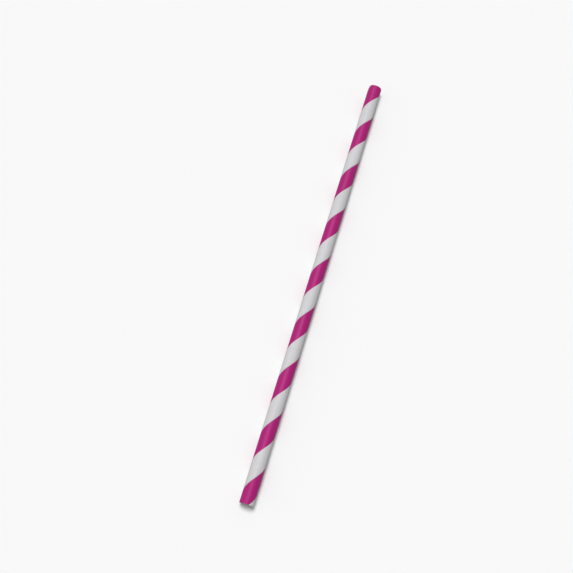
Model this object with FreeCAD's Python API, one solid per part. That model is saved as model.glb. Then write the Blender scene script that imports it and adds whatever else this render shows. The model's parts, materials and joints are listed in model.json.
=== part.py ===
import FreeCAD, Part
import math
import os

# A spiral-wound paper drinking straw that lies on its side along +X.
# Layers of paper strip are wound on a mandrel and glued into one tube. Neighbouring turns of a strip
# meet edge to edge, so a fine open seam, one layer deep, winds along the outside and another along
# the bore. A printed band runs beside the outer seam. A knife then cuts the tube square to length.
# The frame: +Z up, origin under the middle of the straw, on the surface that it lies on.
# Sizes are in millimetres and angles in degrees.

# The tube
STRAW_LENGTH = 197.0
OUTER_DIAMETER = 6.0
PLY_THICKNESS = 0.16
PLY_COUNT = 3

# The winding: how far one right-handed turn travels along the tube, how wide a seam stands open
# along the tube, and by what turn the inner seam follows the outer one
WINDING_LEAD = 23.7
SEAM_GAP = 0.20
INNER_SEAM_TURN = 150.0

# The printed band, measured along the top of the tube: its width, and how far the middle of one
# turn of it lies from the middle of the straw
BAND_WIDTH = 11.57
BAND_OFFSET = 0.90

# Derived sizes of the tube
outer_radius = OUTER_DIAMETER / 2
bore_radius = outer_radius - PLY_COUNT * PLY_THICKNESS
outer_seam_radius = outer_radius - PLY_THICKNESS
inner_seam_radius = bore_radius + PLY_THICKNESS
half_length = STRAW_LENGTH / 2

# Derived places where the edges of the print and of the seams cross the top of the tube
band_start = BAND_OFFSET - BAND_WIDTH / 2
band_end = BAND_OFFSET + BAND_WIDTH / 2
outer_seam_end = band_end + SEAM_GAP
inner_seam_start = band_end - WINDING_LEAD * INNER_SEAM_TURN / 360
inner_seam_end = inner_seam_start + SEAM_GAP

# The skins are drawn in half turns, and two points closer than this are one
HALF_TURN = 180.0
SAME_POINT = 1e-6


def climb(turn):
    """How far the winding travels along the tube while it turns by this angle."""
    return WINDING_LEAD * turn / 360


def cut_to_length(outline):
    """The part of a flat outline of (turn, place) corners that lies between the straw's ends."""
    for end in (-half_length, half_length):
        side = math.copysign(1, end)
        kept = []
        for here, after in zip(outline, outline[1:] + outline[:1]):
            here_spare = side * (end - here[1])
            after_spare = side * (end - after[1])
            if here_spare >= 0:
                kept.append(here)
            if here_spare * after_spare < 0:
                share = here_spare / (here_spare - after_spare)
                kept.append((here[0] + share * (after[0] - here[0]), end))
        outline = kept
    return [corner for corner, before in zip(outline, outline[-1:] + outline[:-1])
            if math.dist(corner, before) > SAME_POINT]


def half_turns(low, high):
    """The outlines, half a turn each, of the paper between two helices, unrolled flat.

    Unrolled, a helix is the straight line place = start + climb(turn). So a strip between two of
    them is a row of parallelograms, and between a helix and itself it is that line, end to end.
    """
    first = math.floor((-half_length - high) / climb(HALF_TURN)) - 1
    last = math.ceil((half_length - low) / climb(HALF_TURN)) + 1
    for step in range(first, last):
        start, end = step * HALF_TURN, (step + 1) * HALF_TURN
        corners = [(start, low), (end, low), (end, high), (start, high)]
        outline = cut_to_length([(turn, place + climb(turn)) for turn, place in corners])
        if outline:
            whole_turns = start - start % 360
            yield [(turn - whole_turns, place) for turn, place in outline]


def mandrel(radius):
    """The cylinder about +Z that a layer of this radius is wrapped on."""
    cylinder = Part.Cylinder()
    cylinder.Radius = radius
    return cylinder


def wrapped(here, after, cylinder):
    """The straight flat line between two (turn, place) corners, wrapped on a cylinder."""
    ends = [FreeCAD.Base.Vector2d(math.radians(turn), place) for turn, place in (here, after)]
    return Part.Geom2d.Line2dSegment(*ends).toShape(cylinder)


def skin(radius, low, high):
    """The skin of the strip between two helices, as faces of a cylinder."""
    cylinder = mandrel(radius)
    for outline in half_turns(low, high):
        sides = zip(outline, outline[1:] + outline[:1])
        edges = [wrapped(here, after, cylinder) for here, after in sides]
        yield Part.Face(cylinder, Part.Wire(edges))


def seam_wall(inside, outside, start):
    """The cut edge of a strip that shows in a seam, as helicoids between two radii."""
    side_by_side = 1
    for here, after in half_turns(start, start):
        foot, brow = [wrapped(here, after, mandrel(radius)) for radius in (inside, outside)]
        yield Part.makeRuledSurface(foot, brow, side_by_side)


def cut_ends(skins):
    """The two flat ring faces that the knife leaves, drawn in the open rims of the skins."""
    open_edges = [edge for shell in skins.Shells for edge in shell.getFreeEdges().Edges]
    for end in (-half_length, half_length):
        rims = [edge for edge in open_edges if abs(edge.CenterOfMass.z - end) < SAME_POINT]
        wires = [Part.Wire(edges) for edges in Part.sortEdges(rims)]
        yield from Part.makeFace(wires, "Part::FaceMakerBullseye").Faces


def wound_tube():
    """The whole wall about +Z: the skins, the seams between their turns, and the cut ends."""
    faces = [
        *skin(outer_radius, band_start, band_end),
        *skin(outer_seam_radius, band_end, outer_seam_end),
        *skin(outer_radius, outer_seam_end, band_start + WINDING_LEAD),
        *seam_wall(outer_seam_radius, outer_radius, band_end),
        *seam_wall(outer_seam_radius, outer_radius, outer_seam_end),
        *skin(inner_seam_radius, inner_seam_start, inner_seam_end),
        *skin(bore_radius, inner_seam_end, inner_seam_start + WINDING_LEAD),
        *seam_wall(bore_radius, inner_seam_radius, inner_seam_start),
        *seam_wall(bore_radius, inner_seam_radius, inner_seam_end),
    ]
    skins = Part.makeCompound(faces)
    skins.sewShape()
    shell = Part.makeShell(skins.Faces + list(cut_ends(skins)))
    shell.sewShape()
    tube = Part.makeSolid(shell)
    return tube if tube.Volume > 0 else tube.reversed()


def laid_down(tube):
    """The tube turned to lie along +X on the ground, with its local +X line on top."""
    lie = FreeCAD.Rotation(
        FreeCAD.Vector(0, 0, 1), FreeCAD.Vector(0, -1, 0), FreeCAD.Vector(1, 0, 0), "ZYX")
    placed = tube.copy()
    placed.Placement = FreeCAD.Placement(FreeCAD.Vector(0, 0, outer_radius), lie)
    return placed


os.makedirs("parts", exist_ok=True)
straw_tube = laid_down(wound_tube())
straw_tube.exportStep("parts/straw_tube.step")
print("straw_tube: valid", straw_tube.isValid(), "solids", len(straw_tube.Solids),
      "faces", len(straw_tube.Faces), "volume", round(straw_tube.Volume, 2))
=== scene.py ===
# %% [markdown]
# # A striped paper straw
#
# The object is one piece of wound paper, and this lesson dresses it for the camera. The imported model
# gives the true size and the hidden frame. Everything that shows is a surface worked out with numpy,
# in metres, in the same frame: +X along the straw, +Z up, the origin under its middle.

# %% The frame
import json
import math
import bpy
import numpy as np
from mathutils import Matrix, Vector


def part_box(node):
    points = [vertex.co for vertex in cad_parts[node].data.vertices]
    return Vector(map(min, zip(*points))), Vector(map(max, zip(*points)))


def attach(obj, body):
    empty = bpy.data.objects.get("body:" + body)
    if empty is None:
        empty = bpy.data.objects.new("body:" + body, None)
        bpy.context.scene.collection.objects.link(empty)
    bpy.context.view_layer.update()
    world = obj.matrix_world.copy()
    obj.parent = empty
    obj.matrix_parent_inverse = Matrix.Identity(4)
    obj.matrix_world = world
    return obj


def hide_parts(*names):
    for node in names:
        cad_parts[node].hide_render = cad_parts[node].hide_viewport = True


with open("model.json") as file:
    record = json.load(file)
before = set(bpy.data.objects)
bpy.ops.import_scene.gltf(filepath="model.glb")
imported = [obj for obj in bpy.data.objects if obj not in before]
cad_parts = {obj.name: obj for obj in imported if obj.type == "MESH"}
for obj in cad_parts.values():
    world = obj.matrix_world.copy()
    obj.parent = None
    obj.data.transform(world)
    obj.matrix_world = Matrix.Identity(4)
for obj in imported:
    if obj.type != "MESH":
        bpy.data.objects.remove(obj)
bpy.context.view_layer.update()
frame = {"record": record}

# %% [markdown]
# The straw's sizes are read from the frame, so that the dressed straw can't drift from the real one.
# Its length is the node's, and its two radii are those of the record's mounts: the outside, which a
# lid's hole meets, and the bore, which the drink goes through. Three plies of paper make the wall.

# %% Sizes from the frame
MM = 0.001
PLY_COUNT = 3
mounts = {mount["name"]: mount for mount in frame["record"]["mounts"]}
low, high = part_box("straw_tube")
half_length = (high[0] - low[0]) / 2
outer_radius = mounts["outside"]["dims"]["r_mm"] * MM
bore_radius = mounts["bore"]["dims"]["r_mm"] * MM
axis_height = low[2] + outer_radius
ply = (outer_radius - bore_radius) / PLY_COUNT
print("length", 2 * half_length / MM, "radii", outer_radius / MM, bore_radius / MM, "ply", ply / MM)

# %% [markdown]
# A paper straw is wound like a barber's pole. The strip climbs one lead along the tube in each turn,
# and its two edges meet in a seam. The printed band lies beside that seam. These few lengths are
# measured along the top of the tube, and they are the same ones that the solid was made with.
#
# It is handy to number the places round the wall by the share of a turn that they lie past the outer
# seam. On the flat strip that share is the way across the strip, so it never changes along a helix.

# %% The winding
LEAD = 23.7 * MM
SEAM_GAP = 0.20 * MM
BAND_WIDTH = 11.57 * MM
BAND_OFFSET = 0.90 * MM
INNER_SEAM_TURN = 150
HIDDEN_SEAM_TURN = 285

inner_seam_share = 1 - INNER_SEAM_TURN / 360
hidden_seam_share = 1 - HIDDEN_SEAM_TURN / 360
seam_half = SEAM_GAP / LEAD / 2
seam_place = BAND_OFFSET + BAND_WIDTH / 2 + SEAM_GAP / 2
band_high_share = 1 - seam_half
band_low_share = band_high_share - BAND_WIDTH / LEAD
strip_slope = math.atan2(LEAD, 2 * math.pi * outer_radius)
strip_width = LEAD * math.cos(strip_slope)
print("strip", strip_width / MM, "mm wide, climbing at", math.degrees(strip_slope), "degrees")
print("the band covers shares", band_low_share, "to", band_high_share)

# %% [markdown]
# Around the wall the points are even, with a close cluster at each seam, so that the lips of a seam
# are crisp and the wide paper between them stays smooth. The cluster is counted in half widths of the
# seam, so its points at 1 lie right on the edges of the opening.

# %% Places round the wall
EVEN_STEPS = 72
CLUSTER_SIDE = np.array([0.75, 1.0, 1.25, 1.9, 3.2])
CLUSTER_CLEARANCE = 1.4

cluster = np.concatenate([-CLUSTER_SIDE[::-1], CLUSTER_SIDE]) * seam_half


def gap_to(share, seam):
    """The shortest way round the wall from a seam, as a signed share of a turn."""
    return (share - seam + 0.5) % 1 - 0.5


def shares_round_wall():
    """Even shares of a turn, with the even ones near a seam replaced by that seam's cluster."""
    seams = (0.0, inner_seam_share, hidden_seam_share)
    even = np.arange(EVEN_STEPS) / EVEN_STEPS
    for seam in seams:
        even = even[np.abs(gap_to(even, seam)) > CLUSTER_CLEARANCE * cluster.max()]
    close = np.concatenate([seam + cluster for seam in seams])
    return np.sort(np.concatenate([even, close]) % 1)


shares = shares_round_wall()
print(len(shares), "places round the wall")

# %% [markdown]
# The wall's two skins are plain round, apart from the seams. An open seam is one ply deep, with lips
# that the slitting knife and the glue have softened. The middle ply's own seam is hidden under the
# outer ply, and shows only as a faint valley. Each radius is a formula of the share round the wall.

# %% Skins of the wall
LIP_SOFTNESS = 0.25
VALLEY_DEPTH = 0.012 * MM
VALLEY_HALF_WIDTH = 2.2 * seam_half


def seam_opening(share, seam):
    """1 in an open seam, 0 on the paper, and a straight ramp over the lip between them."""
    away = np.abs(gap_to(share, seam)) / seam_half
    return np.clip((1 + LIP_SOFTNESS - away) / (2 * LIP_SOFTNESS), 0, 1)


def outside_skin(share):
    """Outer radius: the tube's, less one ply in the outer seam, less a bell-shaped shallow valley."""
    valley = np.exp(-(gap_to(share, hidden_seam_share) / VALLEY_HALF_WIDTH) ** 2)
    return outer_radius - ply * seam_opening(share, 0.0) - VALLEY_DEPTH * valley


def bore_skin(share):
    """Inner radius: the bore's, plus one ply in the inner seam."""
    return bore_radius + ply * seam_opening(share, inner_seam_share)


print("outer skin", outside_skin(shares).min() / MM, "to", outside_skin(shares).max() / MM, "mm")

# %% [markdown]
# Seen in a cut along its axis, the wall is a long thin loop: along the outer skin, in over one cut
# end, back along the bore, and out over the other end. The loop is a list of rows, and each row says
# how far along the straw it lies and how deep in the wall. A knife leaves the ends square, with the
# corners bruised round and a hairline of glue between the plies. Where the hidden seam comes out at
# an end, it shows as a short pit in the middle ply.
#
# The rows beside a corner are counted in sizes of that corner. The widths of a glue line and of the
# pit's steep walls are shares of the whole wall, as the depths are.

# %% The loop of rows
OUTER_SKIN, CUT_END, BORE = 0, 1, 2
SKIN_ROWS = 480
BORE_ROWS = 400
CLOSE_ROWS = np.array([1.0, 4.0])
CORNER_ROWS = np.array([0.25, 0.6, 1.0])
CORNER = 0.035 * MM
GLUE_LINE_DEPTH = 0.022 * MM
GLUE_LINE_WIDTH = 0.022
PIT_DEPTH = 0.12 * MM
PIT_WALL = 0.033

wall = outer_radius - bore_radius
glue_lines = np.arange(1, PLY_COUNT) / PLY_COUNT


def depths_over_end():
    """The depths of the rows over a cut end: several on each corner and glue line, one in each ply."""
    corner = CORNER_ROWS * CORNER / wall
    by_glue_line = np.concatenate([glue_lines - PIT_WALL, glue_lines, glue_lines + PIT_WALL])
    mid_ply = (np.arange(PLY_COUNT) + 0.5) / PLY_COUNT
    return np.sort(np.concatenate([corner, by_glue_line, mid_ply, 1 - corner]))


def set_back(depth):
    """How far the cut end stands back at a depth of 0, outside, to 1, in the bore.

    A quarter circle at each corner, plus a bell-shaped groove at each glue line.
    """
    from_skin = np.minimum(depth, 1 - depth) * wall / CORNER
    rounding = CORNER * (1 - np.sqrt(1 - np.clip(1 - from_skin, 0, 1) ** 2))
    glue = sum(np.exp(-((depth - line) / GLUE_LINE_WIDTH) ** 2) for line in glue_lines)
    return rounding + GLUE_LINE_DEPTH * glue


def seam_pit(along, depth, share):
    """How far an end sinks where the hidden seam comes out.

    The pit is PIT_DEPTH deep across the middle ply, with steep walls at both of its glue lines.
    """
    in_middle_ply = np.clip((0.5 / PLY_COUNT - np.abs(depth - 0.5)) / PIT_WALL, 0, 1)
    return np.copysign(PIT_DEPTH, along) * in_middle_ply * seam_opening(share, hidden_seam_share)


def even_with_close_ends(reach, count):
    """Even places from -reach to reach, and a few close to each end, so that its corner stays crisp."""
    close = reach - CORNER * CLOSE_ROWS
    return np.sort(np.concatenate([np.linspace(-reach, reach, count), close, -close]))


def loop_of_rows():
    """The place along X, the depth and the kind of each row, from the -X end out and back again."""
    reach = half_length - CORNER
    out_along = even_with_close_ends(reach, SKIN_ROWS)
    back_along = even_with_close_ends(reach, BORE_ROWS)[::-1]
    over_end = depths_over_end()
    end_place = half_length - set_back(over_end)
    along = np.concatenate([out_along, end_place, back_along, -end_place[::-1]])
    depth = np.concatenate([0 * out_along, over_end, 0 * back_along + 1, over_end[::-1]])
    counts = [len(out_along), len(over_end), len(back_along), len(over_end)]
    return along, depth, np.repeat([OUTER_SKIN, CUT_END, BORE, CUT_END], counts)


row_along, row_depth, row_kind = loop_of_rows()
print(len(row_along), "rows of", len(shares), "points")

# %% [markdown]
# Carried round the axis, the loop closes on itself like a stretched ring, so the wall has no open
# edge and no pole. While it goes along, every row is turned by the winding. That makes each line of
# the mesh follow a helix, and both seams stay sharp without any cutting.

# %% The wall as one surface
def wall_points(along, depth, share):
    """turn = 2 pi (along - seam place) / lead - 2 pi share, and radius runs from skin to bore by depth.

    The point lies at that turn round the axis, counted from the top towards -Y.
    """
    along = along - seam_pit(along, depth, share)
    turn = 2 * math.pi * ((along - seam_place) / LEAD - share)
    radius = (1 - depth) * outside_skin(share) + depth * bore_skin(share)
    return np.stack([along, -radius * np.sin(turn), axis_height + radius * np.cos(turn)], -1)


points = wall_points(row_along[:, None], row_depth[:, None], shares[None, :])
print("points from", points.min((0, 1)) / MM, "to", points.max((0, 1)) / MM, "mm")

# %% [markdown]
# The flat strip is the natural place to draw on: the print and the fibres were there before the
# paper was wound. A UV map named strip unrolls the wall to that strip, in millimetres: across is 0
# to the strip's width, and along counts the paper as it comes off the reel.

# %% From points to a piece
def grid_faces(rows, columns):
    """The four corners of every face of a grid that closes both ways, as (row, column) steps."""
    row, column = np.meshgrid(np.arange(rows), np.arange(columns), indexing="ij")
    row, column = row.ravel()[:, None], column.ravel()[:, None]
    return row + np.array([[0, 1, 1, 0]]), column + np.array([[0, 0, 1, 1]])


def strip_map(corner_along, corner_share):
    """Across = share x strip width; along = how much strip the turns up to this corner have used."""
    turn = (corner_along - seam_place) / LEAD - corner_share
    strip_in_turn = math.hypot(2 * math.pi * outer_radius, LEAD)
    reel = turn * strip_in_turn + corner_share * LEAD * math.sin(strip_slope)
    return np.stack([corner_share * strip_width, reel], -1) / MM


def kind_of_faces(near_row, far_row):
    """A face has the kind of its rows, and a face that touches a row of a cut end belongs to that end."""
    near, far = row_kind[near_row], row_kind[far_row]
    return np.where((near == CUT_END) | (far == CUT_END), CUT_END, near)


def build_straw():
    """The closed wall, with its strip map and one material slot for each kind of surface.

    A face is split into triangles between its first and third corners. The rows of the bore run
    backwards, so its faces start one corner later, and every split lies nearly along the axis.
    """
    rows, columns = len(row_along), len(shares)
    corner_row, corner_column = grid_faces(rows, columns)
    kind = kind_of_faces(corner_row[:, 0] % rows, corner_row[:, 1] % rows)
    for corner in (corner_row, corner_column):
        corner[kind == BORE] = np.roll(corner[kind == BORE], 1, axis=1)
    corners = (corner_row % rows) * columns + corner_column % columns
    mesh = bpy.data.meshes.new("straw")
    mesh.from_pydata(points.reshape(-1, 3), [], corners)
    share_ahead = np.append(shares, shares[0] + 1)
    unrolled = strip_map(row_along[corner_row % rows], share_ahead[corner_column])
    mesh.uv_layers.new(name="strip").uv.foreach_set("vector", unrolled.astype(np.float32).ravel())
    mesh.polygons.foreach_set("material_index", kind.astype(np.int32))
    mesh.polygons.foreach_set("use_smooth", np.ones(len(corners), bool))
    mesh.update()
    piece = bpy.data.objects.new("straw", mesh)
    bpy.context.scene.collection.objects.link(piece)
    return piece


straw = build_straw()
print("straw:", len(straw.data.polygons), "faces, in", len(straw.data.vertices), "points")

# %% [markdown]
# Is it closed, and does it face outwards? The volume under its faces answers both: it is positive
# when they face out, and close to the volume of the real paper when nothing is missing.

# %% A check of the wall
def enclosed_volume(mesh):
    """A sixth of the sum of the triple products of each triangle's corners."""
    mesh.calc_loop_triangles()
    corner = np.empty(3 * len(mesh.loop_triangles), np.int32)
    mesh.loop_triangles.foreach_get("vertices", corner)
    place = np.empty(3 * len(mesh.vertices), np.float32)
    mesh.vertices.foreach_get("co", place)
    a, b, c = place.astype(float).reshape(-1, 3)[corner.reshape(-1, 3)].transpose(1, 0, 2)
    return np.einsum("ij,ij->", a, np.cross(b, c)) / 6


volume = enclosed_volume(straw.data)
ideal = 2 * half_length * math.pi * (outer_radius ** 2 - bore_radius ** 2)
print("paper volume", volume / MM ** 3, "mm3, of", ideal / MM ** 3, "with no seams")

# %% [markdown]
# ## Finishes
#
# Helpers first. One adds a node and sets its inputs, and two more do a step of arithmetic and blend
# two colours, so that each material below reads as a list of what it does.

# %% Node helpers
def add(tree, kind, inputs=None, **settings):
    """A new node of a kind, with its settings, and inputs given as values or as sockets to link."""
    node = tree.nodes.new(kind)
    for name, value in settings.items():
        setattr(node, name, value)
    for name, value in (inputs or {}).items():
        socket = node.inputs[name]
        if isinstance(value, bpy.types.NodeSocket):
            tree.links.new(value, socket)
        else:
            socket.default_value = value
    return node


def math_step(tree, operation, first, second):
    """One step of arithmetic between two numbers or sockets."""
    return add(tree, "ShaderNodeMath", {0: first, 1: second}, operation=operation).outputs[0]


def blend(tree, share, first, second):
    """A colour that goes from the first to the second as the share goes from 0 to 1.

    A Mix node has a set of sockets for each type of data: 6, 7 and output 2 are those of colours.
    """
    colours = {0: share, 6: (*first, 1), 7: (*second, 1)}
    return add(tree, "ShaderNodeMix", colours, data_type="RGBA").outputs[2]


print("helpers ready")

# %% [markdown]
# Paper is never one flat tone. Held to the light it is cloudy, its fibres lie mostly along the reel,
# and the mandrel leaves faint streaks along the tube. All three surfaces share that, so it is one
# node group. It puts out a tone, close to 1, to multiply a colour by, and a height for a bump.
# The fibres are in both: their tone is grain in the paper and the ink, and since it rises with their
# height it also paints each standing fibre lighter, a painted highlight where the fibre catches the
# light.

# %% Paper grain
FIBRE_ACROSS = 5.0
FIBRE_ALONG = 1.2
CLOUDS_PER_MM = 0.45
STREAK_ALONG = 0.035
STREAK_ACROSS = 1.5


def paper_grain_group():
    """Tone = 1 + the sum of strength x (noise - 1/2) over clouds, streaks and fibres; height = fibres."""
    group = bpy.data.node_groups.new("paper_grain", "ShaderNodeTree")
    sides = {
        "Cloudiness": "INPUT", "Streaks": "INPUT", "Fibres": "INPUT",
        "Tone": "OUTPUT", "Height": "OUTPUT"}
    for name, side in sides.items():
        group.interface.new_socket(name, in_out=side, socket_type="NodeSocketFloat")
    given, result = add(group, "NodeGroupInput"), add(group, "NodeGroupOutput")
    strip = add(group, "ShaderNodeUVMap", uv_map="strip").outputs["UV"]
    streak_place = add(group, "ShaderNodeMapping", {
        "Vector": add(group, "ShaderNodeTexCoord").outputs["Object"],
        "Scale": (STREAK_ALONG / MM, STREAK_ACROSS / MM, STREAK_ACROSS / MM)})
    fibre_place = add(group, "ShaderNodeMapping", {
        "Vector": strip, "Scale": (FIBRE_ACROSS, FIBRE_ALONG, 1)})
    fibre = add(group, "ShaderNodeTexNoise", {
        "Vector": fibre_place.outputs[0], "Scale": 1.0, "Detail": 3.0, "Roughness": 0.6})
    clouds = add(group, "ShaderNodeTexNoise", {
        "Vector": strip, "Scale": CLOUDS_PER_MM, "Detail": 4.0, "Roughness": 0.55})
    streaks = add(group, "ShaderNodeTexNoise", {
        "Vector": streak_place.outputs[0], "Scale": 1.0, "Detail": 2.0})
    # The fibre noise lifts the tone where it lifts the height: grain, and a painted highlight on standing
    # fibres.
    tone = 1.0
    for noise, strength in ((clouds, "Cloudiness"), (streaks, "Streaks"), (fibre, "Fibres")):
        swing = math_step(group, "SUBTRACT", noise.outputs[0], 0.5)
        tone = math_step(group, "ADD", tone, math_step(group, "MULTIPLY", swing, given.outputs[strength]))
    group.links.new(tone, result.inputs["Tone"])
    group.links.new(fibre.outputs[0], result.inputs["Height"])
    return group


paper_grain = paper_grain_group()
print("group", paper_grain.name, [item.name for item in paper_grain.interface.items_tree])

# %% [markdown]
# The three papers differ in colour and gloss only. A small function lays the grain over a colour and
# joins it to a Principled BSDF, where the numbers that don't vary are set on the sockets themselves.

# %% One way to make paper
PAPER_GLOSS = 0.20


def new_paper(name):
    """An empty material with its shader, ready for a colour."""
    material = bpy.data.materials.new(name)
    material.use_nodes = True
    material.node_tree.nodes.clear()
    tree = material.node_tree
    shader = add(tree, "ShaderNodeBsdfPrincipled", {"Specular IOR Level": PAPER_GLOSS})
    add(tree, "ShaderNodeOutputMaterial", {"Surface": shader.outputs["BSDF"]})
    return material, tree, shader


def lay_grain(tree, shader, colour, cloudiness, streaks, fibres, relief):
    """Multiplies a colour by the grain's tone, and lets its fibres stand up by a relief in metres."""
    grain = add(tree, "ShaderNodeGroup", node_tree=paper_grain)
    for name, strength in (("Cloudiness", cloudiness), ("Streaks", streaks), ("Fibres", fibres)):
        grain.inputs[name].default_value = strength
    tone, height = grain.outputs["Tone"], grain.outputs["Height"]
    toned = add(tree, "ShaderNodeVectorMath", {0: colour, 1: tone}, operation="MULTIPLY")
    bump = add(tree, "ShaderNodeBump", {"Height": height, "Strength": 1.0, "Distance": relief})
    tree.links.new(toned.outputs[0], shader.inputs["Base Color"])
    tree.links.new(bump.outputs[0], shader.inputs["Normal"])


print("paper maker ready")

# %% [markdown]
# The outer skin carries the print. The ink is a field between two straight lines on the flat strip,
# which become the helical edges of the stripe. A press never prints a perfect line, so the edge
# wanders by a few hundredths of a millimetre. Ink closes the paper's pores, so it shines a bit more.

# %% Printed skin
PAPER_WHITE = (0.650, 0.648, 0.662)
INK_MAGENTA = (0.435, 0.013, 0.190)
EDGE_SOFTNESS = 0.03
EDGE_WANDER = 0.06
EDGE_WAVES_PER_MM = 1.1
PAPER_ROUGHNESS = 0.62
INK_ROUGHNESS = 0.48


def ink_mask(tree):
    """1 where ink lies: a smooth step up at the band's low edge times one down at its high edge."""
    strip = add(tree, "ShaderNodeUVMap", uv_map="strip").outputs["UV"]
    across = add(tree, "ShaderNodeSeparateXYZ", {"Vector": strip}).outputs["X"]
    waves = add(tree, "ShaderNodeTexNoise", {"Vector": strip, "Scale": EDGE_WAVES_PER_MM, "Detail": 2.0})
    wander = math_step(tree, "MULTIPLY", math_step(tree, "SUBTRACT", waves.outputs[0], 0.5), EDGE_WANDER)
    across = math_step(tree, "ADD", across, wander)
    mask = 1.0
    for share, before, after in ((band_low_share, 0.0, 1.0), (band_high_share, 1.0, 0.0)):
        edge = share * strip_width / MM
        step = add(tree, "ShaderNodeMapRange", {
            "Value": across, "From Min": edge - EDGE_SOFTNESS, "From Max": edge + EDGE_SOFTNESS,
            "To Min": before, "To Max": after}, interpolation_type="SMOOTHSTEP")
        mask = math_step(tree, "MULTIPLY", mask, step.outputs[0])
    return mask


def printed_skin():
    """Colour and roughness go from the paper's to the ink's as the mask goes from 0 to 1."""
    material, tree, shader = new_paper("printed_skin")
    mask = ink_mask(tree)
    colour = blend(tree, mask, PAPER_WHITE, INK_MAGENTA)
    lay_grain(tree, shader, colour, cloudiness=0.14, streaks=0.20, fibres=0.16, relief=0.016 * MM)
    gloss = math_step(tree, "MULTIPLY", mask, INK_ROUGHNESS - PAPER_ROUGHNESS)
    tree.links.new(math_step(tree, "ADD", gloss, PAPER_ROUGHNESS), shader.inputs["Roughness"])
    return material


straw.data.materials.append(printed_skin())
print("printed skin done")

# %% [markdown]
# A knife tears fibres as it cuts, so a cut end is rougher and a little darker than the skin, and the
# plies show as separate layers. The bore is the same paper as the skin, without the ink, and its colour
# is a touch warmer: a painted warm glow that stands in for the light that reaches it only through the
# wall and the ends.

# %% Cut ends and bore
CUT_WHITE = (0.585, 0.580, 0.567)
# The bore's white carries a painted warm glow for light that comes through the wall.
BORE_WHITE_PAINTED_WARM = (0.635, 0.628, 0.620)
CUT_ROUGHNESS = 0.85
BORE_ROUGHNESS = 0.70


def plain_paper(name, colour, roughness, **grain):
    """Paper of one colour, with the shared grain."""
    material, tree, shader = new_paper(name)
    shader.inputs["Roughness"].default_value = roughness
    lay_grain(tree, shader, colour, **grain)
    return material


cut_edge = plain_paper("cut_edge", CUT_WHITE, CUT_ROUGHNESS, cloudiness=0.30, streaks=0.06,
                       fibres=0.24, relief=0.020 * MM)
bore_paper = plain_paper("bore_paper", BORE_WHITE_PAINTED_WARM, BORE_ROUGHNESS, cloudiness=0.15, streaks=0.06,
                         fibres=0.16, relief=0.016 * MM)
straw.data.materials.append(cut_edge)
straw.data.materials.append(bore_paper)
print("materials", [material.name for material in straw.data.materials])

# %% [markdown]
# The dressed straw takes the place of the plain one, and rides on the only body that there is.

# %% Into the frame
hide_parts("straw_tube")
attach(straw, "root")

# %% [markdown]
# ## The photographer's table
#
# The straw lies on a pale sheet. The camera sees that sheet nearly white, and the straw gets less
# light back from it than so white a floor would give, which keeps the paper's own shading.

# %% Floor
FLOOR_SIDE = 6.0
FLOOR_SEEN = 0.97
FLOOR_LIT = 0.60
FLOOR_ROUGHNESS = 0.9


def new_floor():
    """A wide plane at z = 0 whose white is FLOOR_SEEN to the camera and FLOOR_LIT to everything else."""
    mesh = bpy.data.meshes.new("floor")
    reach = FLOOR_SIDE / 2
    corners = [(-reach, -reach, 0), (reach, -reach, 0), (reach, reach, 0), (-reach, reach, 0)]
    mesh.from_pydata(corners, [], [(0, 1, 2, 3)])
    floor = bpy.data.objects.new("floor", mesh)
    bpy.context.scene.collection.objects.link(floor)
    material, tree, shader = new_paper("floor_sheet")
    shader.inputs["Roughness"].default_value = FLOOR_ROUGHNESS
    seen = add(tree, "ShaderNodeLightPath").outputs["Is Camera Ray"]
    white = blend(tree, seen, [FLOOR_LIT] * 3, [FLOOR_SEEN] * 3)
    tree.links.new(white, shader.inputs["Base Color"])
    mesh.materials.append(material)
    return floor


floor = new_floor()
print("floor", FLOOR_SIDE, "m wide")

# %% [markdown]
# Soft light comes mostly from one broad lamp overhead. It leans towards +X, so that its gleam runs
# evenly down the straw, and a little to +Y, the left of the picture, so that the shadow shows on the
# right. A weaker and broader lamp stands further to the left, and the world fills in the rest. Both
# lamps are of the far-away kind, which light the whole sheet evenly. Together they give a level sheet
# about pi watts a square metre, at which a colour renders about as it is written.

# %% Light
WORLD_LEVEL = 0.28
KEY_LEVEL, KEY_WIDTH_DEG, KEY_FROM = 0.70, 24.0, (0.28, 0.20, 0.94)
FILL_LEVEL, FILL_WIDTH_DEG, FILL_FROM = 0.06, 60.0, (-0.10, 0.75, 0.60)


def turned_to(back, towards):
    """The turn that points a lamp or camera away from back, with its top towards a direction."""
    right = towards.cross(back).normalized()
    return Matrix((right, back.cross(right), back)).transposed().to_4x4()


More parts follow.
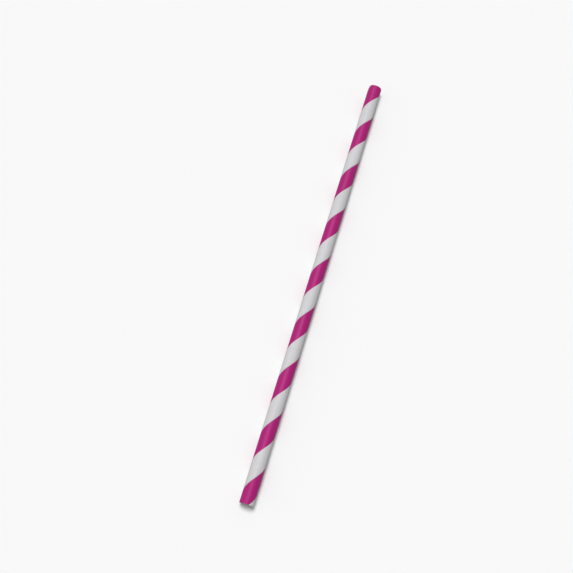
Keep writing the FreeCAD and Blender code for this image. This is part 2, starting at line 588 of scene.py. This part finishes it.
def far_lamp(name, level, width_deg, from_where):
    """Even light from a round patch of sky: level is its share of the light on a sheet that faces it."""
    lamp = bpy.data.lights.new(name, "SUN")
    lamp.energy, lamp.angle = level * math.pi, math.radians(width_deg)
    holder = bpy.data.objects.new(name, lamp)
    bpy.context.scene.collection.objects.link(holder)
    holder.matrix_world = turned_to(Vector(from_where).normalized(), Vector((1, 0, 0)))


def soft_world(level):
    """Even white light of this level, which the camera sees as plain white."""
    world = bpy.data.worlds.new("soft_room")
    world.use_nodes = True
    tree = world.node_tree
    tree.nodes.clear()
    seen = add(tree, "ShaderNodeLightPath").outputs["Is Camera Ray"]
    strength = math_step(tree, "ADD", math_step(tree, "MULTIPLY", seen, 1 - level), level)
    light = add(tree, "ShaderNodeBackground", {"Color": (1, 1, 1, 1), "Strength": strength})
    add(tree, "ShaderNodeOutputWorld", {"Surface": light.outputs[0]})
    bpy.context.scene.world = world


far_lamp("key_lamp", KEY_LEVEL, KEY_WIDTH_DEG, KEY_FROM)
far_lamp("fill_lamp", FILL_LEVEL, FILL_WIDTH_DEG, FILL_FROM)
soft_world(WORLD_LEVEL)
bpy.context.scene.view_settings.view_transform = "Standard"
print("light levels", KEY_LEVEL, FILL_LEVEL, WORLD_LEVEL)

# %% [markdown]
# The photograph looks down on the straw, with its +X end at the top right. The camera's place comes
# from fitting the straw's outline and its stripes as a tube in perspective.

# %% Camera
CAMERA_PLACE = Vector((-113.06, 0.0, 337.22)) * MM
CAMERA_BACK = Vector((-0.30194, -0.03195, 0.95280))
CAMERA_UP = Vector((0.90779, 0.29558, 0.29759))
LENS_MM = 51.29
SENSOR_MM = 36.0
CLIP_START = 10 * MM

lens = bpy.data.cameras.new("camera")
lens.lens, lens.sensor_width, lens.clip_start = LENS_MM, SENSOR_MM, CLIP_START
camera = bpy.data.objects.new("camera", lens)
bpy.context.scene.collection.objects.link(camera)
pointed = turned_to(CAMERA_BACK.normalized(), CAMERA_UP)
camera.matrix_world = Matrix.Translation(CAMERA_PLACE) @ pointed
bpy.context.scene.camera = camera
print("the camera stands", [round(part, 4) for part in CAMERA_PLACE], "m from the origin")
